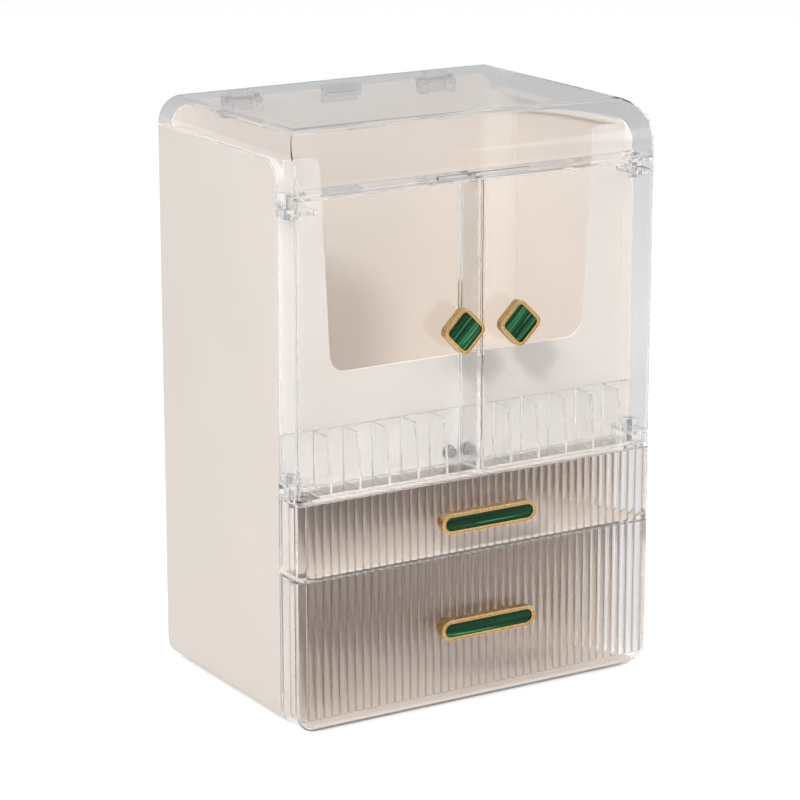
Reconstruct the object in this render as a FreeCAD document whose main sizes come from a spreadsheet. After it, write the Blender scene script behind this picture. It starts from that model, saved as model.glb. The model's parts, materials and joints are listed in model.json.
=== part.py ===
import FreeCAD, Part
import math
import os
import Sketcher

# Makeup organizer: cream cabinet with a clear lid, two clear doors with lipstick racks and two drawers.
# Frame: x to the right, y to the back, z up. The origin is the centre of the footprint, on the table.

# Driving dimensions, in millimetres
DIMENSIONS = {
    # whole object
    "width": "300",
    "body_depth": "173",
    "front_depth": "30",
    "side_height": "408.5",
    "foot_height": "2",
    "seam": "1.5",
    # cabinet
    "wall": "2.5",
    "rim": "9",
    "corner_radius": "14",
    "side_front_radius": "15",
    "apron_recess": "0.6",
    "apron_post": "26",
    "cutout_taper": "8",
    "cutout_height": "154.5",
    "cutout_radius": "14",
    "ear_radius": "7",
    "back_top_inset": "2.6",
    "back_top_radius": "15",
    "cove_radius": "22",
    "cove_edge": "0.5",
    "guide_height": "12",
    "foot_radius": "8",
    "foot_inset": "26",
    # lid
    "lid_rise": "20.7",
    "lid_front_drop": "19",
    "lid_hem": "1.7",
    "lid_edge_radius": "19",
    "lid_wall": "2.2",
    "lid_clearance": "1",
    "lid_lip_width": "76",
    "lid_lip_height": "3",
    "lid_lip_reach": "2",
    "bumper_length": "14",
    "bumper_gap": "0.15",
    # lid hinge
    "lid_hinge_spacing": "168",
    "lid_hinge_drop": "5.8",
    "lid_hinge_inset": "4.2",
    "lid_pin_radius": "1.5",
    "knuckle_radius": "3.8",
    "knuckle_width": "18",
    "knuckle_gap": "0.4",
    "ear_width": "5.5",
    "bracket_height": "5",
    "bracket_depth": "10",
    "bracket_plate": "3",
    "notch_gap": "0.3",
    "notch_depth": "5",
    "rest_wall": "2.5",
    "rest_rise": "3.5",
    # door hinge
    "door_hinge_in": "5.5",
    "door_hinge_out": "9.5",
    "swing_clearance": "0.5",
    "arm_radius": "5",
    "arm_height": "9",
    "arm_gap": "0.3",
    "door_pin_radius": "2",
    "gusset": "3",
    "boss_height": "5",
    "running_clearance": "0.05",
    # doors
    "door_wall": "2.5",
    "front_corner_radius": "5",
    "rack_wall": "2",
    "rack_height": "45",
    "rack_lip": "12",
    "rack_top_reach": "21",
    "rack_gap": "0.4",
    "magnet_radius": "4",
    "magnet_thickness": "3",
    "magnet_height": "12",
    "strike_radius": "5",
    "strike_thickness": "1.2",
    # knobs
    "knob_spacing": "46.6",
    "knob_height": "112",
    "knob_reach": "15",
    "knob_thickness": "6",
    "knob_half_diagonal": "19",
    "knob_corner_radius": "6",
    "knob_stem_radius": "7",
    "bezel": "2.6",
    "channel_rim": "0.5",
    "channel_depth": "0.8",
    "recess_depth": "2.6",
    "stone_sink": "1",
    "stone_gap": "0.1",
    # drawers
    "lower_front_height": "113",
    "upper_front_height": "55",
    "drawer_gap": "1",
    "front_wall": "2.5",
    "reed_pitch": "6.53",
    "reed_height": "1.6",
    "reed_margin": "10.6",
    "reed_wrap": "62",
    "tray_wall": "2",
    "tray_side_gap": "0.8",
    "tray_floor_gap": "0.8",
    "tray_top_gap": "8",
    "tray_back_gap": "5",
    "tray_corner_radius": "5",
    "tray_edge_radius": "1.5",
    # pulls
    "pull_length": "80",
    "pull_height": "15.5",
    "pull_reach": "12.5",
    "pull_thickness": "6",
    "pull_foot_inset": "3",
    "pull_screw_spacing": "50",
    "lower_pull_height": "62",
    # screws
    "screw_radius": "1.9",
    "screw_clearance": "0.1",
    "screw_grip": "8",
    "screw_head_radius": "4",
    "screw_head_height": "2.4",
}

doc = FreeCAD.newDocument("MakeupOrganizer")
sheet = doc.addObject("Spreadsheet::Sheet", "Dims")
for row, (alias, text) in enumerate(DIMENSIONS.items(), start=1):
    sheet.set(f"A{row}", alias)
    sheet.set(f"B{row}", text)
    sheet.setAlias(f"B{row}", alias)
reader = doc.addObject("App::FeaturePython", "Reader")
doc.recompute()

# Cutters run past the faces that they open by this much
PAST = "5"

# Planes and levels, each worked out from the driving dimensions
HALF = "(Dims.width / 2)"
INNER = f"({HALF} - Dims.wall)"
OPENING = f"({HALF} - Dims.rim)"
HANDLE_REACH = "max(Dims.knob_reach; Dims.pull_reach)"
BACK = f"((Dims.body_depth + Dims.front_depth + {HANDLE_REACH}) / 2)"
CAB_FRONT = f"({BACK} - Dims.body_depth)"
FRONT = f"({CAB_FRONT} - Dims.front_depth)"
FLOOR = "Dims.foot_height"
LOWER_TOP = f"({FLOOR} + Dims.lower_front_height)"
UPPER_BOTTOM = f"({LOWER_TOP} + Dims.seam)"
UPPER_TOP = f"({UPPER_BOTTOM} + Dims.upper_front_height)"
DOOR_BOTTOM = f"({UPPER_TOP} + Dims.seam)"
SIDE_TOP = f"({FLOOR} + Dims.side_height)"
LID_FRONT_BOTTOM = f"({SIDE_TOP} - Dims.lid_front_drop)"
DOOR_TOP = f"({LID_FRONT_BOTTOM} - Dims.seam)"
LID_TOP = f"({SIDE_TOP} + Dims.lid_rise)"
LID_UNDER = f"({LID_TOP} - Dims.lid_wall)"
LID_BEND = "(Dims.lid_rise + Dims.lid_front_drop - Dims.lid_hem)"
APRON_FACE = f"({CAB_FRONT} + Dims.apron_recess)"
PANEL_FACE = f"({BACK} - Dims.wall)"

# Lid hinge axis, along x
LID_AXIS_Y = f"({BACK} - Dims.lid_hinge_inset)"
LID_AXIS_Z = f"({LID_UNDER} - Dims.lid_hinge_drop)"
EAR_START = "(Dims.knuckle_width / 2 + Dims.knuckle_gap)"
EAR_END = f"({EAR_START} + Dims.ear_width)"

# Door hinge axis, along z, and the door's back plane, which clears the cabinet as the door swings
PIN_X = f"({HALF} - Dims.door_hinge_in)"
PIN_Y = f"({CAB_FRONT} - Dims.door_hinge_out)"
DOOR_BACK = (f"({PIN_Y} + sqrt((Dims.door_hinge_out - Dims.swing_clearance)^2"
             " - Dims.door_hinge_in^2))")
SWING = "(sqrt(Dims.arm_radius^2 + Dims.door_hinge_out^2) + Dims.swing_clearance)"
MEETING = "(Dims.seam / 2)"

# Drawer trays
TRAY_HALF = f"({OPENING} - Dims.tray_side_gap)"
DRAWER_BACK = f"({CAB_FRONT} - Dims.drawer_gap)"
REED_FACE = f"({FRONT} + Dims.reed_height)"

nodes = {}


def value(expression):
    """Number that an expression on the sheet gives."""
    return float(reader.evalExpression(expression))


def node(name, piece):
    """Name a finished piece: its label is the name of its file."""
    piece.Label = name
    nodes[name] = piece


def box(name, x, y, z):
    """Box between three pairs of low and high expressions."""
    piece = doc.addObject("Part::Box", name)
    for size, axis, (low, high) in zip(("Length", "Width", "Height"), "xyz", (x, y, z)):
        piece.setExpression(size, f"({high}) - ({low})")
        piece.setExpression(f"Placement.Base.{axis}", low)
    return piece


TURNS = {
    "x": FreeCAD.Rotation(FreeCAD.Vector(0, 1, 0), 90),
    "y": FreeCAD.Rotation(FreeCAD.Vector(1, 0, 0), -90),
    "z": FreeCAD.Rotation(),
}


def cylinder(name, axis, radius, low, high, **centre):
    """Cylinder along an axis, between two expressions, about the centre given on the other axes."""
    piece = doc.addObject("Part::Cylinder", name)
    piece.Placement = FreeCAD.Placement(FreeCAD.Vector(), TURNS[axis])
    piece.setExpression("Radius", radius)
    piece.setExpression("Height", f"({high}) - ({low})")
    for key, expression in {**centre, axis: low}.items():
        piece.setExpression(f"Placement.Base.{key}", expression)
    return piece


def fuse(name, *pieces):
    """One solid from pieces that overlap or touch."""
    joined = doc.addObject("Part::MultiFuse", name)
    joined.Shapes = list(pieces)
    joined.Refine = True
    return joined


def group(name, *pieces):
    """Separate solids that share a node."""
    together = doc.addObject("Part::Compound", name)
    together.Links = list(pieces)
    return together


def cut(name, base, *tools):
    """Base without the tools."""
    result = doc.addObject("Part::Cut", name)
    result.Base = base
    result.Tool = tools[0] if len(tools) == 1 else fuse(name + "_tools", *tools)
    result.Refine = True
    return result


def common(name, *pieces):
    """What all the pieces share."""
    shared = doc.addObject("Part::MultiCommon", name)
    shared.Shapes = list(pieces)
    shared.Refine = True
    return shared


def prism(name, plane, corners, low, high):
    """Body with a polygon outline in one of its origin planes, between two levels on the third axis."""
    body = doc.addObject("PartDesign::Body", name)
    sketch = body.newObject("Sketcher::SketchObject", name + "_outline")
    role = plane + "_Plane"
    support = next(item for item in body.Origin.OriginFeatures if item.Role == role)
    sketch.AttachmentSupport = (support, [""])
    sketch.MapMode = "FlatFace"
    # The normal of the XZ plane points to the front, so that outline starts at its far level.
    sketch.setExpression("AttachmentOffset.Base.z", f"-({high})" if plane == "XZ" else low)
    points = [FreeCAD.Vector(value(u), value(v), 0) for u, v in corners]
    for start, end in zip(points, points[1:] + points[:1]):
        sketch.addGeometry(Part.LineSegment(start, end))
    for index, (u, v) in enumerate(corners):
        following = (index + 1) % len(corners)
        sketch.addConstraint(Sketcher.Constraint("Coincident", index, 2, following, 1))
        for kind, expression in (("DistanceX", u), ("DistanceY", v)):
            place = Sketcher.Constraint(kind, -1, 1, index, 1, value(expression))
            number = sketch.addConstraint(place)
            sketch.setExpression(f"Constraints[{number}]", expression)
    pad = body.newObject("PartDesign::Pad", name + "_pad")
    pad.Profile = sketch
    pad.setExpression("Length", f"({high}) - ({low})")
    doc.recompute()
    return body


def line_at(**place):
    """Test for an edge that lies flat at the given coordinates."""
    wanted = {axis.upper(): value(expression) for axis, expression in place.items()}

    def test(edge):
        extent = edge.BoundBox
        return all(
            abs(getattr(extent, axis + end) - level) < 1e-4
            for axis, level in wanted.items()
            for end in ("Min", "Max")
        )

    return test


def rounded(body, radius, *tests):
    """Fillet the edges of the body that pass one of the tests."""
    tip = body.Tip
    names = [
        f"Edge{number}"
        for number, edge in enumerate(tip.Shape.Edges, start=1)
        if any(test(edge) for test in tests)
    ]
    fillet = body.newObject("PartDesign::Fillet", f"{body.Name}_round_{len(body.Group)}")
    fillet.Base = (tip, names)
    fillet.setExpression("Radius", radius)
    body.Tip = fillet
    doc.recompute()
    return body


def mirrored_span(side, near, far):
    """Low and high on x of a stretch that lies to one side of the middle."""
    return (near, far) if side > 0 else (f"-({far})", f"-({near})")


def on_side(side, expression):
    """An x place on the left or right side."""
    return expression if side > 0 else f"-({expression})"


def both_ways(half):
    """Low and high of a stretch that is centred on zero."""
    return f"-({half})", half


def around(centre, half):
    """Low and high of a stretch about a centre."""
    return f"{centre} - ({half})", f"{centre} + ({half})"


# Cabinet


def cabinet_shell():
    block = prism(
        "shell_block", "XZ",
        [(f"-{HALF}", FLOOR), (HALF, FLOOR), (HALF, SIDE_TOP), (f"-{HALF}", SIDE_TOP)],
        CAB_FRONT, BACK,
    )
    rounded(block, "Dims.corner_radius", line_at(x=HALF, z=FLOOR), line_at(x=f"-{HALF}", z=FLOOR))
    rounded(block, "Dims.side_front_radius", line_at(y=CAB_FRONT, z=SIDE_TOP))
    front = f"({CAB_FRONT} + Dims.wall)"
    low = f"({FLOOR} + Dims.wall)"
    high = f"({SIDE_TOP} - Dims.wall)"
    behind = f"({BACK} + {PAST})"
    cavity = prism(
        "shell_cavity", "YZ",
        [(front, low), (behind, low), (behind, high), (front, high)],
        f"-{INNER}", INNER,
    )
    rounded(cavity, "Dims.side_front_radius - Dims.wall", line_at(y=front, z=high))
    rounded(cavity, "Dims.corner_radius - Dims.wall", line_at(x=INNER, z=low), line_at(x=f"-{INNER}", z=low))
    doorway = box(
        "shell_doorway", both_ways(OPENING), (f"{CAB_FRONT} - {PAST}", f"{front} + {PAST}"),
        (low, f"{SIDE_TOP} + {PAST}"),
    )
    skylight = box(
        "shell_skylight", both_ways(OPENING), (f"{CAB_FRONT} - {PAST}", behind),
        (f"{SIDE_TOP} - Dims.side_front_radius", f"{SIDE_TOP} + {PAST}"),
    )
    node("cabinet_shell", cut("shell", block, cavity, doorway, skylight))


def corner_cove(side, top):
    """Hollow round that leads from the back panel into one side wall, over the compartment's floor."""
    centre = f"({INNER} - Dims.cove_edge - Dims.cove_radius)"
    near = f"({PANEL_FACE} - Dims.cove_radius)"
    corner = box(
        f"cove_corner_{side + 1}", mirrored_span(side, centre, INNER), (near, BACK), (DOOR_BOTTOM, top)
    )
    hollow = cylinder(
        f"cove_hollow_{side + 1}", "z", "Dims.cove_radius", f"{DOOR_BOTTOM} - {PAST}", f"{top} + {PAST}",
        x=on_side(side, centre), y=near,
    )
    return cut(f"cove_{side + 1}", corner, hollow)


def back_panel():
    low = f"({FLOOR} + Dims.wall)"
    step = f"({SIDE_TOP} - Dims.wall)"
    narrow = f"({OPENING} - Dims.back_top_inset)"
    sheet_body = prism(
        "back_sheet", "XZ",
        [
            (f"-{INNER}", low), (INNER, low), (INNER, step), (narrow, step),
            (narrow, LID_AXIS_Z), (f"-{narrow}", LID_AXIS_Z), (f"-{narrow}", step), (f"-{INNER}", step),
        ],
        PANEL_FACE, BACK,
    )
    rounded(
        sheet_body, "Dims.corner_radius - Dims.wall",
        line_at(x=INNER, z=low), line_at(x=f"-{INNER}", z=low),
    )
    rounded(
        sheet_body, "Dims.back_top_radius",
        line_at(x=narrow, z=LID_AXIS_Z), line_at(x=f"-{narrow}", z=LID_AXIS_Z),
    )
    notches = [
        box(
            f"back_notch_{number}", around(centre, f"{EAR_END} + Dims.notch_gap"),
            (f"{PANEL_FACE} - {PAST}", f"{BACK} + {PAST}"),
            (f"{LID_AXIS_Z} - Dims.notch_depth", f"{LID_AXIS_Z} + {PAST}"),
        )
        for number, centre in enumerate(("-Dims.lid_hinge_spacing / 2", "0", "Dims.lid_hinge_spacing / 2"))
    ]
    coves = [corner_cove(side, step) for side in (-1, 1)]
    node("back_panel", fuse("back", cut("back_plate", sheet_body, *notches), *coves))


def front_apron():
    top = f"({OPENING} - Dims.apron_post)"
    bottom = f"({top} - Dims.cutout_taper)"
    sill = f"({SIDE_TOP} - Dims.cutout_height)"
    apron = prism(
        "apron", "XZ",
        [
            (f"-{OPENING}", DOOR_BOTTOM), (OPENING, DOOR_BOTTOM), (OPENING, SIDE_TOP), (top, SIDE_TOP),
            (bottom, sill), (f"-{bottom}", sill), (f"-{top}", SIDE_TOP), (f"-{OPENING}", SIDE_TOP),
        ],
        APRON_FACE, f"{APRON_FACE} + Dims.wall",
    )
    rounded(apron, "Dims.ear_radius", line_at(x=top, z=SIDE_TOP), line_at(x=f"-{top}", z=SIDE_TOP))
    rounded(apron, "Dims.cutout_radius", line_at(x=bottom, z=sill), line_at(x=f"-{bottom}", z=sill))
    node("front_apron", apron)


def shelf(name, top):
    """Flat shelf that fills the cabinet, with its front edge between the front rims."""
    front = f"({CAB_FRONT} + Dims.wall)"
    plate = prism(
        name + "_plate", "XY",
        [
            (f"-{OPENING}", CAB_FRONT), (OPENING, CAB_FRONT), (OPENING, front), (INNER, front),
            (INNER, PANEL_FACE), (f"-{INNER}", PANEL_FACE), (f"-{INNER}", front), (f"-{OPENING}", front),
        ],
        f"{top} - Dims.wall", top,
    )
    node(name, plate)


def drawer_guides(side, tag):
    """Two rails on one side wall, one for each drawer tray."""
    rails = [
        box(
            f"{tag}_rail_{number}", mirrored_span(side, OPENING, INNER),
            (f"{CAB_FRONT} + Dims.wall", PANEL_FACE), (low, f"{low} + Dims.guide_height"),
        )
        for number, low in enumerate((f"({FLOOR} + Dims.corner_radius)", UPPER_BOTTOM))
    ]
    node(f"{tag}_drawer_guides", group(f"{tag}_rails", *rails))


def foot_pads():
    reach = f"({HALF} - Dims.foot_inset)"
    rows = {"front": f"{CAB_FRONT} + Dims.foot_inset", "back": f"{BACK} - Dims.foot_inset"}
    pads = [
        cylinder(
            f"{row}_pad_{side + 1}", "z", "Dims.foot_radius", "0", FLOOR,
            x=on_side(side, reach), y=place,
        )
        for row, place in rows.items()
        for side in (-1, 1)
    ]
    node("foot_pads", group("pads", *pads))


def strike_discs():
    discs = [
        cylinder(
            f"strike_{side + 1}", "y", "Dims.strike_radius",
            f"{APRON_FACE} - Dims.strike_thickness", APRON_FACE,
            x=on_side(side, MAGNET_X), z=MAGNET_Z,
        )
        for side in (-1, 1)
    ]
    node("strike_discs", group("strikes", *discs))


def lid_bumpers():
    """Rubber strips on the side rims that the lid closes on."""
    start = f"({CAB_FRONT} + Dims.side_front_radius)"
    strips = [
        box(
            f"bumper_{side + 1}", mirrored_span(side, f"{HALF} - Dims.rim / 2", HALF),
            (start, f"{start} + Dims.bumper_length"),
            (SIDE_TOP, f"{SIDE_TOP} + Dims.lid_clearance - Dims.bumper_gap"),
        )
        for side in (-1, 1)
    ]
    node("lid_bumpers", group("bumpers", *strips))


# Lid and its hinges


def lid_form(name, profile, half, top, front, edge_radius, corner_radius):
    """Block with the lid's side profile, cut to its front view and to its plan."""
    low = f"({LID_FRONT_BOTTOM} - {PAST})"
    behind = f"({BACK} + {PAST})"
    arch = prism(
        f"{name}_arch", "XZ", [(f"-{half}", low), (half, low), (half, top), (f"-{half}", top)],
        front, behind,
    )
    rounded(arch, edge_radius, line_at(x=half, z=top), line_at(x=f"-{half}", z=top))
    plan = prism(
        f"{name}_plan", "XY", [(f"-{half}", front), (half, front), (half, behind), (f"-{half}", behind)],
        low, top,
    )
    rounded(plan, corner_radius, line_at(x=half, y=front), line_at(x=f"-{half}", y=front))
    return common(name, profile, arch, plan)


def lid_cover():
    gap_front = f"({CAB_FRONT} - Dims.lid_clearance)"
    hem = f"({SIDE_TOP} + Dims.lid_clearance)"
    profile = prism(
        "lid_profile", "YZ",
        [
            (BACK, hem), (BACK, LID_TOP), (FRONT, LID_TOP), (FRONT, LID_FRONT_BOTTOM),
            (gap_front, LID_FRONT_BOTTOM), (gap_front, hem),
        ],
        *both_ways(HALF),
    )
    rounded(profile, LID_BEND, line_at(y=FRONT, z=LID_TOP))
    follow = "min(Dims.side_front_radius + Dims.lid_clearance; Dims.lid_front_drop)"
    rounded(profile, follow, line_at(y=gap_front, z=hem))
    outer = lid_form(
        "lid_block", profile, HALF, LID_TOP, FRONT, "Dims.lid_edge_radius", "Dims.front_corner_radius"
    )
    inner_half = f"({HALF} - Dims.lid_wall)"
    inner_front = f"({FRONT} + Dims.lid_wall)"
    below = f"({LID_FRONT_BOTTOM} - {PAST})"
    behind = f"({BACK} + {PAST})"
    hollow = prism(
        "lid_hollow", "YZ",
        [(behind, below), (behind, LID_UNDER), (inner_front, LID_UNDER), (inner_front, below)],
        *both_ways(inner_half),
    )
    rounded(hollow, f"{LID_BEND} - Dims.lid_wall", line_at(y=inner_front, z=LID_UNDER))
    cavity = lid_form(
        "lid_cavity", hollow, inner_half, LID_UNDER, inner_front,
        "Dims.lid_edge_radius - Dims.lid_wall", "Dims.front_corner_radius - Dims.lid_wall",
    )
    shell = cut("lid_shell", outer, cavity)
    pieces = [shell]
    bores = []
    for side in (-1, 1):
        middle = on_side(side, "Dims.lid_hinge_spacing / 2")
        low, high = around(middle, "Dims.knuckle_width / 2")
        tag = side + 1
        pieces.append(
            cylinder(f"knuckle_{tag}", "x", "Dims.knuckle_radius", low, high, y=LID_AXIS_Y, z=LID_AXIS_Z)
        )
        web = around(LID_AXIS_Y, "Dims.knuckle_radius")
        rise = (LID_AXIS_Z, f"{LID_UNDER} + Dims.lid_wall / 2")
        pieces.append(box(f"knuckle_web_{tag}", (low, high), web, rise))
        bores.append(
            cylinder(
                f"knuckle_bore_{tag}", "x", "Dims.lid_pin_radius + Dims.running_clearance",
                f"{low} - {PAST}", f"{high} + {PAST}", y=LID_AXIS_Y, z=LID_AXIS_Z,
            )
        )
    pieces.append(
        box(
            "lid_lip", both_ways("Dims.lid_lip_width / 2"),
            (f"{FRONT} - Dims.lid_lip_reach", f"{FRONT} + Dims.lid_wall"),
            (LID_FRONT_BOTTOM, f"{LID_FRONT_BOTTOM} + Dims.lid_lip_height"),
        )
    )
    node("lid_cover", cut("lid", fuse("lid_solid", *pieces), *bores))


def bracket_plate(name, centre):
    """Plate on the inside of the back panel, below a notch."""
    top = f"({LID_AXIS_Z} - Dims.notch_depth)"
    return box(
        name, around(centre, EAR_END), (f"{PANEL_FACE} - Dims.bracket_plate", PANEL_FACE),
        (f"{top} - Dims.bracket_height", top),
    )


def lid_hinge(side, tag):
    middle = on_side(side, "Dims.lid_hinge_spacing / 2")
    foot = f"({LID_AXIS_Z} - Dims.notch_depth - Dims.bracket_height)"
    pieces = [bracket_plate(f"{tag}_hinge_plate", middle)]
    for way in (-1, 1):
        start, end = mirrored_span(way, EAR_START, EAR_END)
        low = f"{middle} + ({start})"
        high = f"{middle} + ({end})"
        pieces.append(
            box(
                f"{tag}_hinge_ear_{way + 1}", (low, high),
                (f"{PANEL_FACE} - Dims.bracket_depth", PANEL_FACE), (foot, LID_AXIS_Z),
            )
        )
        pieces.append(
            cylinder(
                f"{tag}_hinge_eye_{way + 1}", "x", "Dims.knuckle_radius", low, high,
                y=LID_AXIS_Y, z=LID_AXIS_Z,
            )
        )
    low, high = around(middle, EAR_END)
    bore = cylinder(
        f"{tag}_hinge_bore", "x", "Dims.lid_pin_radius + Dims.running_clearance",
        f"{low} - {PAST}", f"{high} + {PAST}", y=LID_AXIS_Y, z=LID_AXIS_Z,
    )
    node(f"{tag}_lid_hinge_bracket", cut(f"{tag}_hinge", fuse(f"{tag}_hinge_solid", *pieces), bore))
    node(
        f"{tag}_lid_hinge_pin",
        cylinder(f"{tag}_lid_pin", "x", "Dims.lid_pin_radius", low, high, y=LID_AXIS_Y, z=LID_AXIS_Z),
    )


def lid_rest():
    """Open pocket in the middle notch that the lid's back edge rests over."""
    sill = f"({LID_AXIS_Z} - Dims.notch_depth)"
    top = f"({LID_AXIS_Z} + Dims.rest_rise)"
    near = f"({PANEL_FACE} - Dims.bracket_depth)"
    outer = box("rest_block", both_ways(EAR_END), (near, PANEL_FACE), (sill, top))
    hollow = box(
        "rest_hollow", both_ways(f"{EAR_END} - Dims.rest_wall"),
        (f"{near} + Dims.rest_wall", f"{PANEL_FACE} - Dims.rest_wall"),
        (f"{sill} + Dims.rest_wall", f"{top} + {PAST}"),
    )
    pocket = cut("rest_pocket", outer, hollow)
    node("lid_rest_block", fuse("rest", pocket, bracket_plate("rest_plate", "0")))


# Doors

DOOR_ENDS = {
    # level of the arm's outer face, and the direction from there into the door
    "upper": (DOOR_TOP, -1),
    "lower": (DOOR_BOTTOM, 1),
}
RACK_FLOOR = f"({DOOR_BOTTOM} + Dims.door_wall)"
RACK_TOP = f"({DOOR_BOTTOM} + Dims.rack_height)"
GUSSET_TOP = f"({DOOR_BOTTOM} + Dims.arm_height + Dims.arm_gap + Dims.gusset)"
GUSSET_EDGE = f"({PIN_X} - {SWING})"
RACK_FRONT = f"({FRONT} + Dims.door_wall + Dims.rack_gap)"
RACK_SLOTS = 6
MAGNET_X = f"({MEETING} + Dims.door_wall + Dims.magnet_radius + Dims.rack_wall)"
MAGNET_Z = f"({DOOR_BOTTOM} + Dims.magnet_height)"
KNOB_X = "(Dims.knob_spacing / 2)"
KNOB_Z = f"({DOOR_BOTTOM} + Dims.knob_height)"


def into_door(end, near, far):
    """Low and high on z of a stretch measured into the door from its top or bottom."""
    level, way = DOOR_ENDS[end]
    if way > 0:
        return f"{level} + ({near})", f"{level} + ({far})"
    return f"{level} - ({far})", f"{level} - ({near})"


def door_plan(side, wall, back):
    """Plan of a door, set in from its outer faces by a wall."""
    outer = on_side(side, f"({HALF} - {wall})")
    inner = on_side(side, f"({MEETING} + {wall})")
    front = f"({FRONT} + {wall})"
    return [(outer, back), (outer, front), (inner, front), (inner, back)]


def door_panel(side, tag):
    plan = door_plan(side, "0", DOOR_BACK)
    block = prism(f"{tag}_door_block", "XY", plan, DOOR_BOTTOM, DOOR_TOP)
    rounded(block, "Dims.front_corner_radius", line_at(x=plan[1][0], y=plan[1][1]))
    hollow = door_plan(side, "Dims.door_wall", f"({DOOR_BACK} + {PAST})")
    cavity = prism(
        f"{tag}_door_cavity", "XY", hollow, f"{DOOR_BOTTOM} + Dims.door_wall", f"{DOOR_TOP} - Dims.door_wall"
    )
    rounded(cavity, "Dims.front_corner_radius - Dims.door_wall", line_at(x=hollow[1][0], y=hollow[1][1]))
    pieces = [cut(f"{tag}_door_tray", block, cavity)]
    cutters = []
    axis = {"x": on_side(side, PIN_X), "y": PIN_Y}
    for end in DOOR_ENDS:
        under = "Dims.arm_height + Dims.arm_gap"
        seat = f"{under} + Dims.gusset"
        edge = on_side(side, GUSSET_EDGE)
        corner = prism(
            f"{tag}_{end}_gusset", "XY",
            [plan[0], plan[1], (edge, FRONT), (edge, DOOR_BACK)],
            *into_door(end, under, seat),
        )
        rounded(corner, "Dims.front_corner_radius", line_at(x=plan[1][0], y=plan[1][1]))
        pieces.append(corner)
        boss = into_door(end, under, f"{seat} + Dims.boss_height")
        pieces.append(cylinder(f"{tag}_{end}_boss", "z", "Dims.arm_radius", *boss, **axis))
        cutters.append(cylinder(f"{tag}_{end}_notch", "z", SWING, *into_door(end, f"-{PAST}", under), **axis))
        cutters.append(
            cylinder(
                f"{tag}_{end}_pin_hole", "z", "Dims.door_pin_radius + Dims.running_clearance",
                *into_door(end, "0", f"{seat} + Dims.boss_height + {PAST}"), **axis,
            )
        )
    cutters.append(
        cylinder(
            f"{tag}_knob_hole", "y", "Dims.screw_radius + Dims.screw_clearance",
            f"{FRONT} - {PAST}", f"{FRONT} + Dims.door_wall + {PAST}", x=on_side(side, KNOB_X), z=KNOB_Z,
        )
    )
    node(f"{tag}_door_panel", cut(f"{tag}_door", fuse(f"{tag}_door_solid", *pieces), *cutters))


def door_rack(side, tag):
    """Lipstick rack: a low back plate, a floor and dividers that lean back from the door's front sheet."""
    outer = f"({HALF} - Dims.door_wall)"
    inner = f"({MEETING} + Dims.door_wall)"
    plate_front = f"({DOOR_BACK} - Dims.rack_wall)"
    above = f"({GUSSET_TOP} + Dims.rack_gap)"
    past_gusset = f"({GUSSET_EDGE} - Dims.rack_gap)"
    plate = prism(
        f"{tag}_rack_plate", "XZ",
        [
            (on_side(side, inner), RACK_FLOOR), (on_side(side, past_gusset), RACK_FLOOR),
            (on_side(side, past_gusset), above), (on_side(side, outer), above),
            (on_side(side, outer), RACK_TOP), (on_side(side, inner), RACK_TOP),
        ],
        plate_front, DOOR_BACK,
    )
    floor = box(
        f"{tag}_rack_floor", mirrored_span(side, inner, past_gusset), (RACK_FRONT, DOOR_BACK),
        (RACK_FLOOR, f"{RACK_FLOOR} + Dims.rack_wall"),
    )
    pieces = [plate, floor]
    for number in range(1, RACK_SLOTS):
        middle = f"({inner} + ({outer} - {inner}) * {number} / {RACK_SLOTS})"
        low, high = mirrored_span(side, *around(middle, "Dims.rack_wall / 2"))
        pieces.append(
            prism(
                f"{tag}_divider_{number}", "YZ",
                [
                    (DOOR_BACK, RACK_FLOOR), (RACK_FRONT, RACK_FLOOR),
                    (RACK_FRONT, f"{RACK_FLOOR} + Dims.rack_lip"),
                    (f"{DOOR_BACK} - Dims.rack_top_reach", RACK_TOP), (DOOR_BACK, RACK_TOP),
                ],
                low, high,
            )
        )
    seat = cylinder(
        f"{tag}_magnet_seat", "y", "Dims.magnet_radius + Dims.running_clearance",
        f"{plate_front} - Dims.rack_wall", f"{DOOR_BACK} + {PAST}", x=on_side(side, MAGNET_X), z=MAGNET_Z,
    )
    node(f"{tag}_door_rack", cut(f"{tag}_rack", fuse(f"{tag}_rack_solid", *pieces), seat))
    magnet = cylinder(
        f"{tag}_magnet", "y", "Dims.magnet_radius",
        f"{DOOR_BACK} - Dims.magnet_thickness", DOOR_BACK, x=on_side(side, MAGNET_X), z=MAGNET_Z,
    )
    node(f"{tag}_door_magnet", magnet)


def door_hinges(side, tag):
    """Arms on the cabinet and pins in the door, at the top and bottom outer corners."""
    axis = {"x": on_side(side, PIN_X), "y": PIN_Y}
    pins = []
    for end in DOOR_ENDS:
        tall = into_door(end, "0", "Dims.arm_height")
        eye = cylinder(f"{tag}_{end}_eye", "z", "Dims.arm_radius", *tall, **axis)
        strut = box(f"{tag}_{end}_strut", around(axis["x"], "Dims.arm_radius"), (PIN_Y, CAB_FRONT), tall)
        bore = cylinder(
            f"{tag}_{end}_bore", "z", "Dims.door_pin_radius + Dims.running_clearance",
            *into_door(end, f"-{PAST}", f"Dims.arm_height + {PAST}"), **axis,
        )
        arm = cut(f"{tag}_{end}_arm", fuse(f"{tag}_{end}_arm_solid", eye, strut), bore)
        node(f"{tag}_{end}_hinge_arm", arm)
        reach = "Dims.arm_height + Dims.arm_gap + Dims.gusset + Dims.boss_height"
        length = into_door(end, "0", reach)
        pins.append(cylinder(f"{tag}_{end}_pin", "z", "Dims.door_pin_radius", *length, **axis))
    node(f"{tag}_door_pins", group(f"{tag}_pins", *pins))


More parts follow.
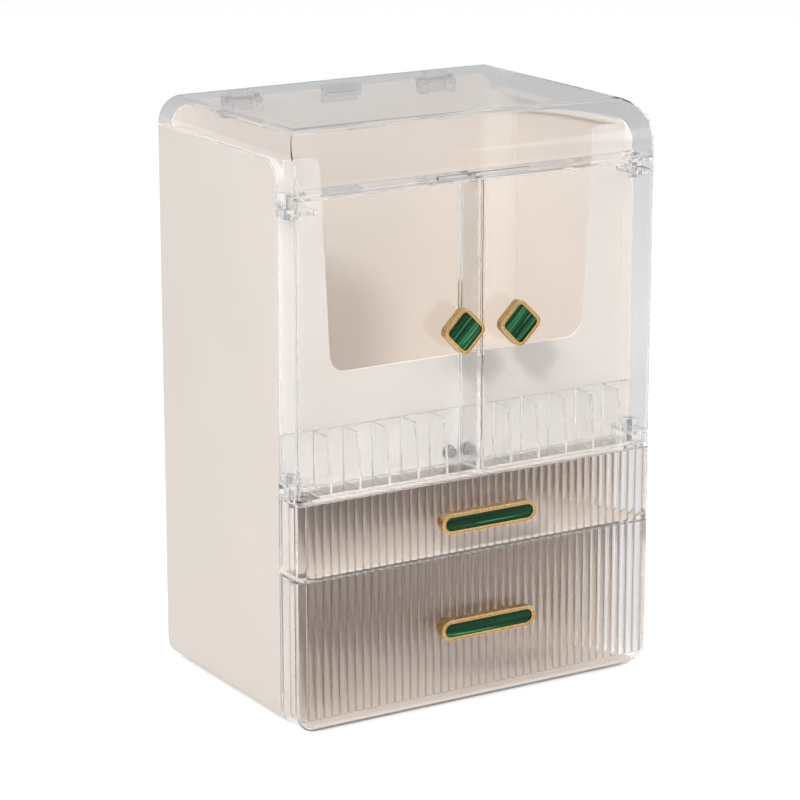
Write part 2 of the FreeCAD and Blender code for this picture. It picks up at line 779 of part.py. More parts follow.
def diamond(name, place, inset, near, far):
    """Square turned on its corner, with rounded corners, in from the knob's outline by an inset."""
    x, z = place["x"], place["z"]
    reach = f"(Dims.knob_half_diagonal - ({inset}) * sqrt(2))"
    corners = [(f"{x} + {reach}", z), (x, f"{z} + {reach}"), (f"{x} - {reach}", z), (x, f"{z} - {reach}")]
    body = prism(name, "XZ", corners, near, far)
    tests = [line_at(x=u, z=v) for u, v in corners]
    return rounded(body, f"Dims.knob_corner_radius - ({inset})", *tests)


def inlaid_head(name, outline, place, face, thickness):
    """Head of a handle and the hollows in its face: a bed for the stone and a channel for a row of beads."""
    bed = f"({face} + Dims.recess_depth)"
    above = f"({face} - {PAST})"
    channel_floor = f"({face} + Dims.channel_depth)"
    head = outline(f"{name}_head", place, "0", face, f"({face} + {thickness})")
    recess = outline(f"{name}_recess", place, "Dims.bezel", above, bed)
    outer = outline(f"{name}_channel_outer", place, "Dims.channel_rim", above, channel_floor)
    inner = outline(f"{name}_channel_inner", place, "Dims.bezel - Dims.channel_rim", above, channel_floor)
    channel = cut(f"{name}_channel", outer, inner)
    stone = outline(f"{name}_inlay", place, "Dims.bezel + Dims.stone_gap", f"({face} + Dims.stone_sink)", bed)
    node(f"{name}_stone", stone)
    return head, [recess, channel]


def knob(side, tag):
    face = f"({FRONT} - Dims.knob_reach)"
    place = {"x": on_side(side, KNOB_X), "z": KNOB_Z}
    head, hollows = inlaid_head(f"{tag}_knob", diamond, place, face, "Dims.knob_thickness")
    head_back = f"{face} + Dims.knob_thickness"
    stem = cylinder(f"{tag}_knob_stem", "y", "Dims.knob_stem_radius", head_back, FRONT, **place)
    thread = screw_thread(f"{tag}_knob_thread", place)
    solid = fuse(f"{tag}_knob_solid", head, stem)
    node(f"{tag}_knob", cut(f"{tag}_knob_body", solid, *hollows, thread))
    inside = f"{FRONT} + Dims.door_wall"
    node(f"{tag}_knob_screw", screw(f"{tag}_knob_screw_solid", inside, place))


def screw_thread(name, place):
    """Hole in the back of a handle for a screw's tip."""
    tip = f"{FRONT} - Dims.screw_grip - Dims.screw_clearance"
    return cylinder(name, "y", "Dims.screw_radius + Dims.screw_clearance", tip, f"{FRONT} + {PAST}", **place)


def screw(name, seat, place):
    """Screw from inside, with its head on the seat plane and its tip in the handle."""
    shank = cylinder(f"{name}_shank", "y", "Dims.screw_radius", f"{FRONT} - Dims.screw_grip", seat, **place)
    top = f"{seat} + Dims.screw_head_height"
    head = cylinder(f"{name}_head", "y", "Dims.screw_head_radius", seat, top, **place)
    return fuse(name, shank, head)


# Drawers


def reed_outline(half_flat, radius):
    """Wire of the reeds in plan: an arc for each reed, along the flat front and round both corners."""
    pitch = value("Dims.reed_pitch")
    valley = 0.1 * value("Dims.reed_height")
    crest = value("Dims.reed_height")
    root = -value("Dims.front_wall") / 2
    face = value(REED_FACE)
    wrap = radius * math.radians(value("Dims.reed_wrap"))
    count = 2 * int((half_flat + wrap) / pitch)
    end = count * pitch / 2

    def point(along, out):
        """Place at a distance along the front from its middle, standing out from its face."""
        flat = max(-half_flat, min(half_flat, along))
        turn = (along - flat) / radius
        reach = radius + out
        return FreeCAD.Vector(flat + reach * math.sin(turn), face + radius - reach * math.cos(turn), 0)

    edges = []
    for number in range(count):
        start = number * pitch - end
        reed = (point(start, valley), point(start + pitch / 2, crest), point(start + pitch, valley))
        edges.append(Part.Arc(*reed).toShape())
    back = (point(end, root), point(half_flat, root), point(-half_flat, root), point(-end, root))
    half_turn = (end + half_flat) / 2
    edges.append(Part.LineSegment(point(end, valley), back[0]).toShape())
    edges.append(Part.Arc(back[0], point(half_turn, root), back[1]).toShape())
    edges.append(Part.LineSegment(back[1], back[2]).toShape())
    edges.append(Part.Arc(back[2], point(-half_turn, root), back[3]).toShape())
    edges.append(Part.LineSegment(back[3], point(-end, valley)).toShape())
    return Part.Wire(edges)


def reeds(name, low, high):
    """Skin of vertical reeds on a drawer front."""
    radius = value("Dims.front_corner_radius")
    wire = reed_outline(value(HALF) - radius, radius)
    skin = doc.addObject("Part::Feature", name)
    skin.Shape = Part.Face(wire).extrude(FreeCAD.Vector(0, 0, value(high) - value(low)))
    skin.Placement = FreeCAD.Placement(FreeCAD.Vector(0, 0, value(low)), FreeCAD.Rotation())
    return skin


def front_block(name, inset, low, high, near, far, lower):
    """Block of a drawer front, rounded along its front edges. The lower one has round lower corners too."""
    half = f"({HALF} - {inset})"
    body = prism(name, "XZ", [(f"-{half}", low), (half, low), (half, high), (f"-{half}", high)], near, far)
    sides = [line_at(x=half, y=near), line_at(x=f"-{half}", y=near)]
    if lower:
        rounded(body, f"Dims.corner_radius - {inset}", line_at(x=half, z=low), line_at(x=f"-{half}", z=low))
        sides.append(line_at(y=near, z=low))
    return rounded(body, f"Dims.front_corner_radius - {inset}", *sides)


def drawer(tag, low, high, shelf_top, ceiling, pull_z):
    """Clear drawer front with reeds, and its tray's walls and floor. The floor runs on into the front."""
    lower = tag == "lower"
    tray_low = f"({shelf_top} + Dims.tray_floor_gap)"
    tray_high = f"({ceiling} - Dims.tray_top_gap)"
    tray_floor = f"({tray_low} + Dims.tray_wall)"
    tray_inside = f"({TRAY_HALF} - Dims.tray_wall)"
    tray_end = f"({PANEL_FACE} - Dims.tray_back_gap)"

    block = front_block(f"{tag}_front_block", "0", low, high, REED_FACE, DRAWER_BACK, lower)
    skin = reeds(f"{tag}_reeds", f"{low} + Dims.reed_margin" if lower else low, high)
    inside = f"({REED_FACE} + Dims.front_wall)"
    cavity = front_block(
        f"{tag}_front_cavity", "Dims.front_wall", f"({low} + Dims.front_wall)", f"({high} + {PAST})",
        inside, f"{DRAWER_BACK} - Dims.front_wall", lower,
    )
    mouth = box(
        f"{tag}_front_mouth", both_ways(tray_inside), (inside, f"{DRAWER_BACK} + {PAST}"),
        (tray_low, f"{high} + {PAST}"),
    )
    spots = [{"x": on_side(side, "Dims.pull_screw_spacing / 2"), "z": pull_z} for side in (-1, 1)]
    holes = [
        cylinder(
            f"{tag}_front_hole_{number}", "y", "Dims.screw_radius + Dims.screw_clearance",
            f"{FRONT} - {PAST}", f"{inside} + {PAST}", **spot,
        )
        for number, spot in enumerate(spots)
    ]
    solid = fuse(f"{tag}_front_solid", block, skin)
    hollow = cut(f"{tag}_front_hollow", solid, cavity, mouth)
    node(f"{tag}_drawer_front", cut(f"{tag}_front", hollow, *holes))

    inside_end = f"({tray_end} - Dims.tray_wall)"
    block = tray_block(f"{tag}_tray_block", TRAY_HALF, tray_low, tray_high, DRAWER_BACK, tray_end, "0")
    lower_edges = [line_at(x=on_side(side, TRAY_HALF), z=tray_low) for side in (-1, 1)]
    rounded(block, "Dims.tray_edge_radius", *lower_edges)
    hollow = tray_block(
        f"{tag}_tray_hollow", tray_inside, f"({tray_low} - {PAST})", f"({tray_high} + {PAST})",
        f"({DRAWER_BACK} - {PAST})", inside_end, "Dims.tray_wall",
    )
    node(f"{tag}_drawer_walls", cut(f"{tag}_tray", block, hollow))
    floor = tray_block(
        f"{tag}_tray_floor", tray_inside, tray_low, tray_floor, inside, inside_end, "Dims.tray_wall"
    )
    node(f"{tag}_drawer_floor", floor)
    pull(tag, {"x": "0", "z": pull_z}, spots, inside)


def tray_block(name, half, low, high, near, far, inset):
    """Block with rounded corners at the back of the drawer."""
    corners = [(f"-{half}", near), (half, near), (half, far), (f"-{half}", far)]
    body = prism(name, "XY", corners, low, high)
    tests = [line_at(x=u, y=v) for u, v in corners[2:]]
    return rounded(body, f"Dims.tray_corner_radius - {inset}", *tests)


def stadium(name, place, inset, near, far):
    """Bar with round ends, in from the pull's outline by an inset."""
    radius = f"(Dims.pull_height / 2 - ({inset}))"
    reach = "(Dims.pull_length / 2 - Dims.pull_height / 2)"
    bar = box(f"{name}_bar", both_ways(reach), (near, far), around(place["z"], radius))
    ends = [
        cylinder(f"{name}_end_{side + 1}", "y", radius, near, far, x=on_side(side, reach), z=place["z"])
        for side in (-1, 1)
    ]
    return fuse(name, bar, *ends)


def pull(tag, place, spots, inside):
    face = f"({FRONT} - Dims.pull_reach)"
    head, hollows = inlaid_head(f"{tag}_pull", stadium, place, face, "Dims.pull_thickness")
    head_back = f"({face} + Dims.pull_thickness)"
    foot = stadium(f"{tag}_pull_foot", place, "Dims.pull_foot_inset", head_back, FRONT)
    threads = [screw_thread(f"{tag}_pull_thread_{number}", spot) for number, spot in enumerate(spots)]
    solid = fuse(f"{tag}_pull_solid", head, foot)
    node(f"{tag}_pull", cut(f"{tag}_pull_body", solid, *hollows, *threads))
    screws = [screw(f"{tag}_pull_screw_{number}", inside, spot) for number, spot in enumerate(spots)]
    node(f"{tag}_pull_screws", group(f"{tag}_screws", *screws))


cabinet_shell()
back_panel()
front_apron()
shelf("compartment_floor", DOOR_BOTTOM)
shelf("drawer_shelf", UPPER_BOTTOM)
foot_pads()
strike_discs()
lid_bumpers()
lid_cover()
lid_rest()
for side, tag in ((-1, "left"), (1, "right")):
    drawer_guides(side, tag)
    lid_hinge(side, tag)
    door_panel(side, tag)
    door_rack(side, tag)
    door_hinges(side, tag)
    knob(side, tag)
drawer(
    "upper", UPPER_BOTTOM, UPPER_TOP, UPPER_BOTTOM, f"({DOOR_BOTTOM} - Dims.wall)",
    f"({UPPER_BOTTOM} + Dims.upper_front_height / 2)",
)
drawer(
    "lower", FLOOR, LOWER_TOP, f"({FLOOR} + Dims.wall)", f"({UPPER_BOTTOM} - Dims.wall)",
    f"({FLOOR} + Dims.lower_pull_height)",
)

doc.recompute()
for item in doc.Objects:
    if "Invalid" in item.State or "Error" in item.State:
        raise RuntimeError(f"{item.Name} failed: {item.State}")
for name, piece in nodes.items():
    if piece.Shape.isNull() or not piece.Shape.isValid() or not piece.Shape.Solids:
        raise RuntimeError(f"{name} has no valid solid")

os.makedirs("parts", exist_ok=True)
for name, piece in nodes.items():
    piece.Shape.exportStep(f"parts/{name}.step")
    print(f"{name}: {len(piece.Shape.Solids)} solid, {piece.Shape.Volume / 1000:.2f} cm3")
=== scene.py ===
import json
import math

import bmesh
import bpy
from mathutils import Matrix, Vector


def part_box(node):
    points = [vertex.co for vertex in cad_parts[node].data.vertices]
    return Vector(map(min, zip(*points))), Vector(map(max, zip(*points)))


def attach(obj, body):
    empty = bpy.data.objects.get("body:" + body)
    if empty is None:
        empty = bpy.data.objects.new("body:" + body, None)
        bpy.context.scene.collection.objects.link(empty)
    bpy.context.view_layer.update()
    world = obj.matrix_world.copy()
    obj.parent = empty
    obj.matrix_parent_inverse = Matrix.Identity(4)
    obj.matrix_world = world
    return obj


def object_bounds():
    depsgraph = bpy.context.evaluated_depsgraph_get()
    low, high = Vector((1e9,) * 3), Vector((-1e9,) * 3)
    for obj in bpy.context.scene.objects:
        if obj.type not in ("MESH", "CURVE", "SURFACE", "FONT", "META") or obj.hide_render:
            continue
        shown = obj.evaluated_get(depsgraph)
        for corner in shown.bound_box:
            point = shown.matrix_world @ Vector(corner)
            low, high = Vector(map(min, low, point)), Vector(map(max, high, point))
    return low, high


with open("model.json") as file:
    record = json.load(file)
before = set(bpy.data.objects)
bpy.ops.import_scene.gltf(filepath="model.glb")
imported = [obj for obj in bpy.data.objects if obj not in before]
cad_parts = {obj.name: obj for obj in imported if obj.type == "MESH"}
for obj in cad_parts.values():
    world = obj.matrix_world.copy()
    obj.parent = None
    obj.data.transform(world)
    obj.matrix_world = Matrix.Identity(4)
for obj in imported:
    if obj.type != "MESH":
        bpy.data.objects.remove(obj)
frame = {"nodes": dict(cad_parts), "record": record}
cad_low, cad_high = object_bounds()

# Sizes in metres
MM = 0.001
NODES = frame["nodes"]


# Shared helpers


def srgb(red, green, blue):
    """Linear colour of an 8-bit screen colour."""
    def linear(channel):
        share = channel / 255
        return share / 12.92 if share <= 0.04045 else ((share + 0.055) / 1.055) ** 2.4
    return linear(red), linear(green), linear(blue), 1.0


def add_node(tree, kind, **inputs):
    """New shader node with some of its inputs set."""
    made = tree.nodes.new(kind)
    for name, setting in inputs.items():
        made.inputs[name.replace("_", " ")].default_value = setting
    return made


def new_material(name):
    """Material with one Principled shader, and its tree and shader."""
    material = bpy.data.materials.new(name)
    material.use_nodes = True
    tree = material.node_tree
    return material, tree, tree.nodes["Principled BSDF"]


def noise(tree, scale, detail=3.0, roughness=0.5, stretch=(1, 1, 1), turn=0.0):
    """Noise texture in the object's own coordinates, turned about y and stretched."""
    place = tree.nodes.new("ShaderNodeTexCoord")
    mapping = tree.nodes.new("ShaderNodeMapping")
    mapping.vector_type = "TEXTURE"
    mapping.inputs["Rotation"].default_value = (0.0, turn, 0.0)
    mapping.inputs["Scale"].default_value = [1 / share for share in stretch]
    texture = add_node(tree, "ShaderNodeTexNoise", Scale=scale, Detail=detail, Roughness=roughness)
    tree.links.new(place.outputs["Object"], mapping.inputs["Vector"])
    tree.links.new(mapping.outputs["Vector"], texture.inputs["Vector"])
    return texture


def ramp(tree, source, *stops):
    """Colour ramp over a value, from pairs of position and colour."""
    band = tree.nodes.new("ShaderNodeValToRGB")
    elements = band.color_ramp.elements
    while len(elements) < len(stops):
        elements.new(0.5)
    for element, (position, colour) in zip(elements, stops):
        element.position = position
        element.color = colour
    tree.links.new(source, band.inputs["Fac"])
    return band.outputs["Color"]


def spread(tree, source, low, high):
    """Value between low and high, driven by a texture."""
    span = tree.nodes.new("ShaderNodeMapRange")
    span.inputs["From Min"].default_value = 0.3
    span.inputs["From Max"].default_value = 0.7
    span.inputs["To Min"].default_value = low
    span.inputs["To Max"].default_value = high
    tree.links.new(source, span.inputs["Value"])
    return span.outputs["Result"]


def bump(tree, shader, height, distance, strength):
    """Small relief on a shader's normal."""
    relief = add_node(tree, "ShaderNodeBump", Strength=strength, Distance=distance)
    tree.links.new(height, relief.inputs["Height"])
    tree.links.new(relief.outputs["Normal"], shader.inputs["Normal"])


# Materials

CREAM_IOR = 1.46
CLEAR_IOR = 1.49
CLEAR_SHADOW = (0.985, 0.985, 0.985, 1.0)
# Reeds of the drawer fronts: their pitch, their depth from crest to root, and the half width of the painted
# shade in each groove
REED_PITCH = 6.53 * MM
REED_DEPTH = 1.52 * MM
GROOVE_REACH = 1.5 * MM


def cream_plastic(name, darker, lighter):
    """Satin moulded plastic with a fine grain and a faint drift of tone."""
    material, tree, shader = new_material(name)
    drift = noise(tree, 9.0, detail=2.0)
    tone = ramp(tree, drift.outputs["Fac"], (0.3, darker), (0.7, lighter))
    tree.links.new(tone, shader.inputs["Base Color"])
    grain = noise(tree, 2600.0, detail=2.0)
    tree.links.new(spread(tree, grain.outputs["Fac"], 0.42, 0.52), shader.inputs["Roughness"])
    bump(tree, shader, grain.outputs["Fac"], 0.05 * MM, 0.25)
    shader.inputs["IOR"].default_value = CREAM_IOR
    return material


def clear_plastic(name, tint, groove_shade=None):
    """Polished clear plastic that lets lamp light through, with painted shade: a darker colour in each groove
    of a reeded front.
    """
    material, tree, shader = new_material(name)
    shader.inputs["Base Color"].default_value = tint
    # painted shade: a dark brown colour at each reed root stands in for the shade seen through the reeds
    if groove_shade:
        tree.links.new(painted_groove_shade(tree, tint, groove_shade), shader.inputs["Base Color"])
    shader.inputs["Transmission Weight"].default_value = 1.0
    shader.inputs["IOR"].default_value = CLEAR_IOR
    haze = noise(tree, 60.0, detail=3.0)
    tree.links.new(spread(tree, haze.outputs["Fac"], 0.0, 0.02), shader.inputs["Roughness"])
    through = add_node(tree, "ShaderNodeBsdfTransparent", Color=CLEAR_SHADOW)
    path = tree.nodes.new("ShaderNodeLightPath")
    mix = tree.nodes.new("ShaderNodeMixShader")
    tree.links.new(path.outputs["Is Shadow Ray"], mix.inputs["Fac"])
    tree.links.new(shader.outputs["BSDF"], mix.inputs[1])
    tree.links.new(through.outputs["BSDF"], mix.inputs[2])
    output = tree.nodes["Material Output"]
    tree.links.new(mix.outputs["Shader"], output.inputs["Surface"])
    return material


def painted_groove_shade(tree, tint, groove_shade):
    """Colour of a reeded front: its tint on the reeds, and painted shade, a darker colour, in each groove
    between them.
    """
    place = tree.nodes.new("ShaderNodeTexCoord")
    split = tree.nodes.new("ShaderNodeSeparateXYZ")
    tree.links.new(place.outputs["Object"], split.inputs["Vector"])
    apart = tree.nodes.new("ShaderNodeMath")
    apart.operation = "PINGPONG"
    apart.inputs[1].default_value = REED_PITCH / 2
    tree.links.new(split.outputs["X"], apart.inputs[0])
    rise = add_node(tree, "ShaderNodeMapRange", From_Max=GROOVE_REACH)
    tree.links.new(apart.outputs["Value"], rise.inputs["Value"])
    behind = tree.nodes.new("ShaderNodeMath")
    behind.operation = "GREATER_THAN"
    behind.inputs[1].default_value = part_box("upper_drawer_front")[0].y + REED_DEPTH
    tree.links.new(split.outputs["Y"], behind.inputs[0])
    plain = tree.nodes.new("ShaderNodeMath")
    plain.operation = "MAXIMUM"
    tree.links.new(rise.outputs["Result"], plain.inputs[0])
    tree.links.new(behind.outputs["Value"], plain.inputs[1])
    return ramp(tree, plain.outputs["Value"], (0.0, groove_shade), (1.0, tint))


def gold_metal():
    """Gold plate over a cast base, mottled and a little uneven."""
    material, tree, shader = new_material("gold_metal_look")
    shader.inputs["Metallic"].default_value = 1.0
    cloud = noise(tree, 1400.0, detail=3.0)
    tone = ramp(tree, cloud.outputs["Fac"], (0.35, srgb(196, 158, 104)), (0.65, srgb(226, 194, 142)))
    tree.links.new(tone, shader.inputs["Base Color"])
    tree.links.new(spread(tree, cloud.outputs["Fac"], 0.2, 0.34), shader.inputs["Roughness"])
    bump(tree, shader, cloud.outputs["Fac"], 0.05 * MM, 0.3)
    return material


def green_stone(name, slant):
    """Polished malachite: deep green with thin lighter streaks, turned by a slant in the stone's face."""
    material, tree, shader = new_material(name)
    streaks = noise(tree, 420.0, detail=2.0, roughness=0.4, stretch=(0.02, 1, 1), turn=slant)
    tone = ramp(
        tree, streaks.outputs["Fac"],
        (0.30, srgb(0, 30, 14)), (0.46, srgb(0, 56, 28)), (0.58, srgb(4, 82, 44)),
        (0.61, srgb(96, 178, 126)), (0.64, srgb(4, 88, 48)), (0.75, srgb(0, 52, 26)),
    )
    tree.links.new(tone, shader.inputs["Base Color"])
    pores = noise(tree, 900.0)
    tree.links.new(spread(tree, pores.outputs["Fac"], 0.2, 0.32), shader.inputs["Roughness"])
    shader.inputs["Specular IOR Level"].default_value = 0.15
    return material


def steel():
    """Plain steel with fine turning marks."""
    material, tree, shader = new_material("steel_look")
    shader.inputs["Metallic"].default_value = 1.0
    marks = noise(tree, 900.0, stretch=(1, 8, 1))
    tone = ramp(tree, marks.outputs["Fac"], (0.3, srgb(168, 169, 171)), (0.7, srgb(196, 197, 199)))
    tree.links.new(tone, shader.inputs["Base Color"])
    tree.links.new(spread(tree, marks.outputs["Fac"], 0.22, 0.38), shader.inputs["Roughness"])
    bump(tree, shader, marks.outputs["Fac"], 0.02 * MM, 0.3)
    return material


def pale_rubber():
    """Soft matte rubber."""
    material, tree, shader = new_material("pale_rubber_look")
    cloud = noise(tree, 700.0)
    tone = ramp(tree, cloud.outputs["Fac"], (0.3, srgb(214, 212, 206)), (0.7, srgb(224, 222, 217)))
    tree.links.new(tone, shader.inputs["Base Color"])
    tree.links.new(spread(tree, cloud.outputs["Fac"], 0.7, 0.85), shader.inputs["Roughness"])
    bump(tree, shader, cloud.outputs["Fac"], 0.05 * MM, 0.4)
    return material


LOOKS = {
    "cream_plastic": cream_plastic("cream_plastic_look", srgb(231, 222, 213), srgb(235, 226, 218)),
    "clear_plastic": clear_plastic("clear_plastic_look", (0.975, 0.98, 0.985, 1.0)),
    "gold_metal": gold_metal(),
    "green_stone": green_stone("green_stone_look", 0.0),
    "steel": steel(),
    "rubber": pale_rubber(),
}
# Looks of the nodes whose names end in these words, in place of their slot's look
SPECIAL_LOOKS = {
    "lid_cover": clear_plastic("lid_clear_look", (0.9, 0.905, 0.915, 1.0)),
    "hinge_bracket": clear_plastic("bracket_clear_look", (0.8, 0.8, 0.81, 1.0)),
    "door_panel": clear_plastic("door_clear_look", (0.93, 0.935, 0.94, 1.0)),
    # The reeded drawer fronts get painted shade: dark brown at each reed root, standing in for the shade
    # inside the drawer
    "drawer_front": clear_plastic(
        "drawer_clear_look", (0.95, 0.95, 0.955, 1.0), groove_shade=(0.3, 0.26, 0.24, 1.0)
    ),
    # painted shade: the drawer walls and floors use a darker, browner copy of the shell's cream, standing in
    # for the shade inside the drawers
    "drawer_walls": cream_plastic("tray_shaded_cream_look", srgb(228, 214, 202), srgb(233, 220, 209)),
    "knob_stone": green_stone("slanted_stone_look", math.radians(-45)),
}
SPECIAL_LOOKS["drawer_floor"] = SPECIAL_LOOKS["drawer_walls"]
SPECIAL_LOOKS["rest_block"] = SPECIAL_LOOKS["hinge_bracket"]


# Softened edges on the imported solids

SOFT_EDGES = {
    "cream_plastic": 0.5 * MM,
    "clear_plastic": 0.35 * MM,
    "gold_metal": 0.2 * MM,
    "green_stone": 0.4 * MM,
    "steel": 0.2 * MM,
    "rubber": 0.2 * MM,
}
EDGE_ANGLE = math.radians(32)
SKIN_GAP = 0.03 * MM


def shade_by_angle_group():
    """Geometry nodes that shade smooth, except across edges sharper than an angle."""
    group = bpy.data.node_groups.new("shade_by_angle", "GeometryNodeTree")
    group.interface.new_socket("Geometry", in_out="INPUT", socket_type="NodeSocketGeometry")
    group.interface.new_socket("Geometry", in_out="OUTPUT", socket_type="NodeSocketGeometry")
    start = group.nodes.new("NodeGroupInput")
    end = group.nodes.new("NodeGroupOutput")
    bare = group.nodes.new("GeometryNodeRemoveAttribute")
    bare.inputs["Name"].default_value = "custom_normal"
    faces = group.nodes.new("GeometryNodeSetShadeSmooth")
    faces.domain = "FACE"
    edges = group.nodes.new("GeometryNodeSetShadeSmooth")
    edges.domain = "EDGE"
    edges.inputs["Shade Smooth"].default_value = False
    angle = group.nodes.new("GeometryNodeInputMeshEdgeAngle")
    sharper = group.nodes.new("FunctionNodeCompare")
    sharper.data_type = "FLOAT"
    sharper.operation = "GREATER_THAN"
    sharper.inputs["B"].default_value = EDGE_ANGLE
    links = group.links
    links.new(start.outputs["Geometry"], bare.inputs["Geometry"])
    links.new(bare.outputs["Geometry"], faces.inputs["Geometry"])
    links.new(faces.outputs["Geometry"], edges.inputs["Geometry"])
    links.new(angle.outputs["Unsigned Angle"], sharper.inputs["A"])
    links.new(sharper.outputs["Result"], edges.inputs["Selection"])
    links.new(edges.outputs["Geometry"], end.inputs["Geometry"])
    return group


SHADE_BY_ANGLE = shade_by_angle_group()


def soften(piece, width, gap):
    """Small round on a solid's sharp edges, with smooth shading, and a gap to what it touches."""
    weld = piece.modifiers.new("weld", "WELD")
    weld.merge_threshold = 0.001 * MM
    if gap:
        shrink = piece.modifiers.new("skin_gap", "DISPLACE")
        shrink.strength = -gap
        shrink.mid_level = 0.0
    bevel = piece.modifiers.new("soft_edges", "BEVEL")
    bevel.width = width
    bevel.segments = 2
    bevel.limit_method = "ANGLE"
    bevel.angle_limit = EDGE_ANGLE
    shading = piece.modifiers.new("shade_by_angle", "NODES")
    shading.node_group = SHADE_BY_ANGLE
    flats = piece.modifiers.new("flat_faces", "WEIGHTED_NORMAL")
    flats.weight = 50
    flats.keep_sharp = True


def dress_nodes():
    """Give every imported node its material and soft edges."""
    slots = {part["node"]: part["material_slot"] for part in frame["record"]["subparts"]}
    for name, piece in NODES.items():
        look = slots[name]
        special = [material for ending, material in SPECIAL_LOOKS.items() if name.endswith(ending)]
        piece.data.materials.clear()
        piece.data.materials.append(special[0] if special else LOOKS[look])
        soften(piece, SOFT_EDGES[look], SKIN_GAP if look == "clear_plastic" else 0.0)


dress_nodes()


# Beads along the bezels of the handles

BEZEL_INSET = 1.3 * MM
BEAD_RADIUS = 0.8 * MM
BEAD_SPACING = 2.2 * MM
KNOB_CORNER_RADIUS = 6 * MM


def around_corner(centre, radius, start, turn, steps=12):
    """Points along an arc in the plane of a handle's face."""
    angles = [start + turn * step / steps for step in range(steps + 1)]
    return [Vector((centre.x + radius * math.cos(a), centre.z + radius * math.sin(a))) for a in angles]


def pull_outline(low, high):
    """Middle line of a pull's bezel: a bar with round ends."""
    middle = (low + high) / 2
    radius = (high.z - low.z) / 2
    reach = Vector(((high.x - low.x) / 2 - radius, 0, 0))
    inset = radius - BEZEL_INSET
    right = around_corner(middle + reach, inset, -math.pi / 2, math.pi)
    left = around_corner(middle - reach, inset, math.pi / 2, math.pi)
    return right + left


def knob_outline(low, high):
    """Middle line of a knob's bezel: a square on its corner, with rounded corners."""
    middle = (low + high) / 2
    tip = (high.x - low.x) / 2
    reach = tip - KNOB_CORNER_RADIUS
    points = []
    for corner in range(4):
        turn = corner * math.pi / 2
        centre = middle + Vector((math.cos(turn), 0, math.sin(turn))) * reach
        points += around_corner(centre, KNOB_CORNER_RADIUS - BEZEL_INSET, turn - math.pi / 4, math.pi / 2)
    return points


def evenly_along(outline, spacing):
    """Points at an even spacing along a closed line."""
    legs = list(zip(outline, outline[1:] + outline[:1]))
    lengths = [(end - start).length for start, end in legs]
    total = sum(lengths)
    count = round(total / spacing)
    points = []
    travelled = 0.0
    for (start, end), length in zip(legs, lengths):
        while len(points) < count and len(points) * total / count <= travelled + length:
            share = (len(points) * total / count - travelled) / max(length, 1e-9)
            points.append(start.lerp(end, share))
        travelled += length
    return points


def bead_row(name, body, outline):
    """Row of half-sunk beads in the channel of a handle's bezel."""
    low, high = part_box(name)
    mesh = bmesh.new()
    depth = low.y + BEAD_RADIUS
    for point in evenly_along(outline(low, high), BEAD_SPACING):
        place = Matrix.Translation((point.x, depth, point.y))
        bmesh.ops.create_uvsphere(mesh, u_segments=10, v_segments=6, radius=BEAD_RADIUS, matrix=place)
    for face in mesh.faces:
        face.smooth = True
    data = bpy.data.meshes.new(f"{name}_beads")
    mesh.to_mesh(data)
    mesh.free()
    data.materials.append(LOOKS["gold_metal"])
    row = bpy.data.objects.new(f"{name}_beads", data)
    bpy.context.scene.collection.objects.link(row)
    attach(row, body)


for side in ("left", "right"):
    bead_row(f"{side}_knob", f"{side}_door", knob_outline)
for level in ("upper", "lower"):
    bead_row(f"{level}_pull", f"{level}_drawer", pull_outline)


# Stage, light and camera

FLOOR_REACH = 12.0
FLOOR_STRENGTH = 0.45
FLOOR_STRENGTH_THROUGH_CLEAR = 0.09
WORLD_LIGHT = 0.55
WORLD_OVERHEAD = 0.55
HORIZON_ANGLES = (math.radians(4), math.radians(9))
# Place, size and power of each lamp
LAMPS = {
    "key": ((-1.7, -1.8, 1.8), 0.3, 31.0),
    "fill": ((2.2, -1.4, 1.1), 1.8, 9.5),
    "top": ((0.0, 0.3, 2.4), 1.4, 12.0),
}


def seen_directly(tree, strength, through):
    """Strength for rays from the camera or a mirror, another for rays through glass, none for other light."""
    path = tree.nodes.new("ShaderNodeLightPath")
    either = tree.nodes.new("ShaderNodeMath")
    either.operation = "MAXIMUM"
    tree.links.new(path.outputs["Is Camera Ray"], either.inputs[0])
    tree.links.new(path.outputs["Is Glossy Ray"], either.inputs[1])
    scaled = tree.nodes.new("ShaderNodeMath")
    scaled.operation = "MULTIPLY"
    scaled.inputs[1].default_value = strength
    tree.links.new(either.outputs["Value"], scaled.inputs[0])
    choice = tree.nodes.new("ShaderNodeMix")
    choice.inputs["B"].default_value = through
    tree.links.new(path.outputs["Is Transmission Ray"], choice.inputs["Factor"])
    tree.links.new(scaled.outputs["Value"], choice.inputs["A"])
    return choice.outputs["Result"]


def stage_floor():
    """Pale floor that stays white to the camera, away from the object's shadow."""
    corners = [(x * FLOOR_REACH, y * FLOOR_REACH, 0) for x, y in ((-1, -1), (1, -1), (1, 1), (-1, 1))]
    mesh = bpy.data.meshes.new("floor")
    mesh.from_pydata(corners, [], [(0, 1, 2, 3)])
    floor = bpy.data.objects.new("floor", mesh)
    bpy.context.scene.collection.objects.link(floor)
    material, tree, shader = new_material("floor_look")
    shader.inputs["Base Color"].default_value = (0.9, 0.9, 0.9, 1.0)
    shader.inputs["Roughness"].default_value = 0.9
    shader.inputs["Specular IOR Level"].default_value = 0.0
    shader.inputs["Emission Color"].default_value = (1.0, 1.0, 1.0, 1.0)
    glow = seen_directly(tree, FLOOR_STRENGTH, FLOOR_STRENGTH_THROUGH_CLEAR)
    tree.links.new(glow, shader.inputs["Emission Strength"])
    mesh.materials.append(material)


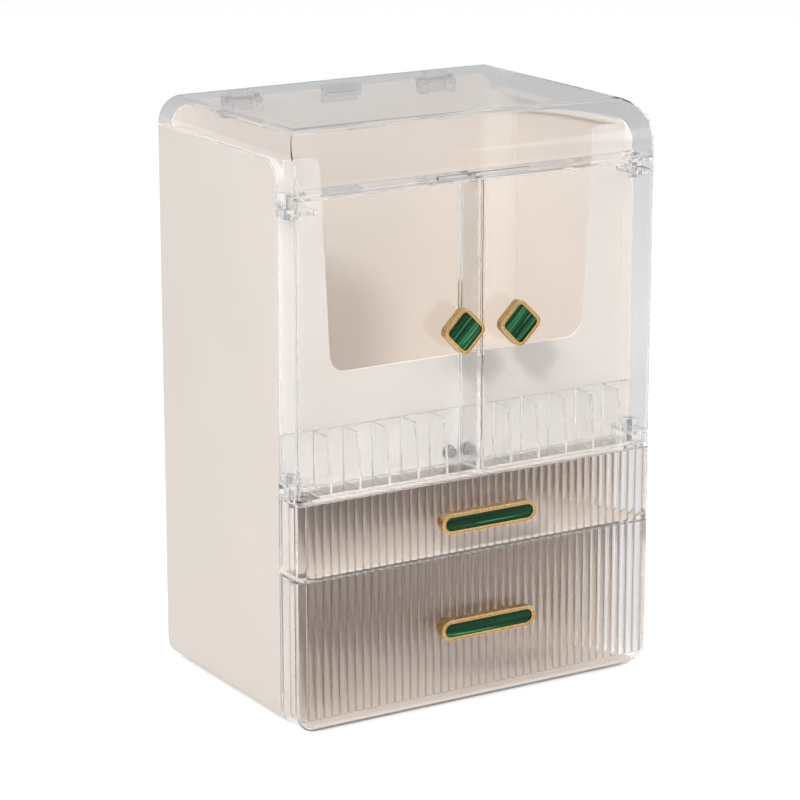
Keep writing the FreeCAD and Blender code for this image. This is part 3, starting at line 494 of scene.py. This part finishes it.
def studio_world(ambient, zenith):
    """Backdrop that is white at the horizon and grey overhead, with a lower strength for its light."""
    world = bpy.data.worlds.new("studio")
    world.use_nodes = True
    tree = world.node_tree
    background = tree.nodes["Background"]
    background.inputs["Color"].default_value = (1.0, 1.0, 1.0, 1.0)
    place = tree.nodes.new("ShaderNodeTexCoord")
    split = tree.nodes.new("ShaderNodeSeparateXYZ")
    tree.links.new(place.outputs["Generated"], split.inputs["Vector"])
    start, end = [math.sin(angle) for angle in HORIZON_ANGLES]
    fall = add_node(
        tree, "ShaderNodeMapRange", From_Min=start, From_Max=end,
        To_Min=1.0 - ambient, To_Max=zenith - ambient,
    )
    tree.links.new(split.outputs["Z"], fall.inputs["Value"])
    shown = tree.nodes.new("ShaderNodeMath")
    shown.operation = "MULTIPLY_ADD"
    shown.inputs[2].default_value = ambient
    tree.links.new(seen_directly(tree, 1.0, 1.0), shown.inputs[0])
    tree.links.new(fall.outputs["Result"], shown.inputs[1])
    tree.links.new(shown.outputs["Value"], background.inputs["Strength"])
    bpy.context.scene.world = world


def area_light(name, place, aim, size, power):
    """Square soft light that faces a point."""
    lamp = bpy.data.lights.new(name, "AREA")
    lamp.shape = "SQUARE"
    lamp.size = size
    lamp.energy = power
    holder = bpy.data.objects.new(name, lamp)
    bpy.context.scene.collection.objects.link(holder)
    holder.location = place
    holder.rotation_mode = "QUATERNION"
    holder.rotation_quaternion = (aim - Vector(place)).to_track_quat("-Z", "Y")


def studio_lights():
    """Small key light from the left, a broad fill from the right and a soft light overhead."""
    middle = (cad_low + cad_high) / 2
    for name, (place, size, power) in LAMPS.items():
        area_light(name, place, middle, size, power)


CAMERA_AZIMUTH = math.radians(-31.52)
CAMERA_ELEVATION = math.radians(15.09)
CAMERA_DISTANCE = 2.5057
CAMERA_LENS = 144.76
TARGET_X = 56.39 * MM
TARGET_HEIGHT = 171.93 * MM


def photo_camera():
    """Camera at the photograph's viewing angle."""
    back_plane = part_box("back_panel")[1].y
    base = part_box("cabinet_shell")[0].z
    target = Vector((TARGET_X, back_plane, base + TARGET_HEIGHT))
    away = Vector((
        math.sin(CAMERA_AZIMUTH) * math.cos(CAMERA_ELEVATION),
        -math.cos(CAMERA_AZIMUTH) * math.cos(CAMERA_ELEVATION),
        math.sin(CAMERA_ELEVATION),
    ))
    lens = bpy.data.cameras.new("photo_camera")
    lens.lens = CAMERA_LENS
    camera = bpy.data.objects.new("photo_camera", lens)
    bpy.context.scene.collection.objects.link(camera)
    camera.location = target + away * CAMERA_DISTANCE
    camera.rotation_mode = "QUATERNION"
    camera.rotation_quaternion = (-away).to_track_quat("-Z", "Y")
    bpy.context.scene.camera = camera


def light_paths():
    """Enough bounces for light that passes many clear walls."""
    paths = bpy.context.scene.cycles
    paths.max_bounces = 48
    paths.transmission_bounces = 32
    paths.transparent_max_bounces = 48
    paths.glossy_bounces = 32
    paths.diffuse_bounces = 6


stage_floor()
studio_world(WORLD_LIGHT, WORLD_OVERHEAD)
studio_lights()
photo_camera()
bpy.context.scene.view_settings.view_transform = "Standard"
light_paths()
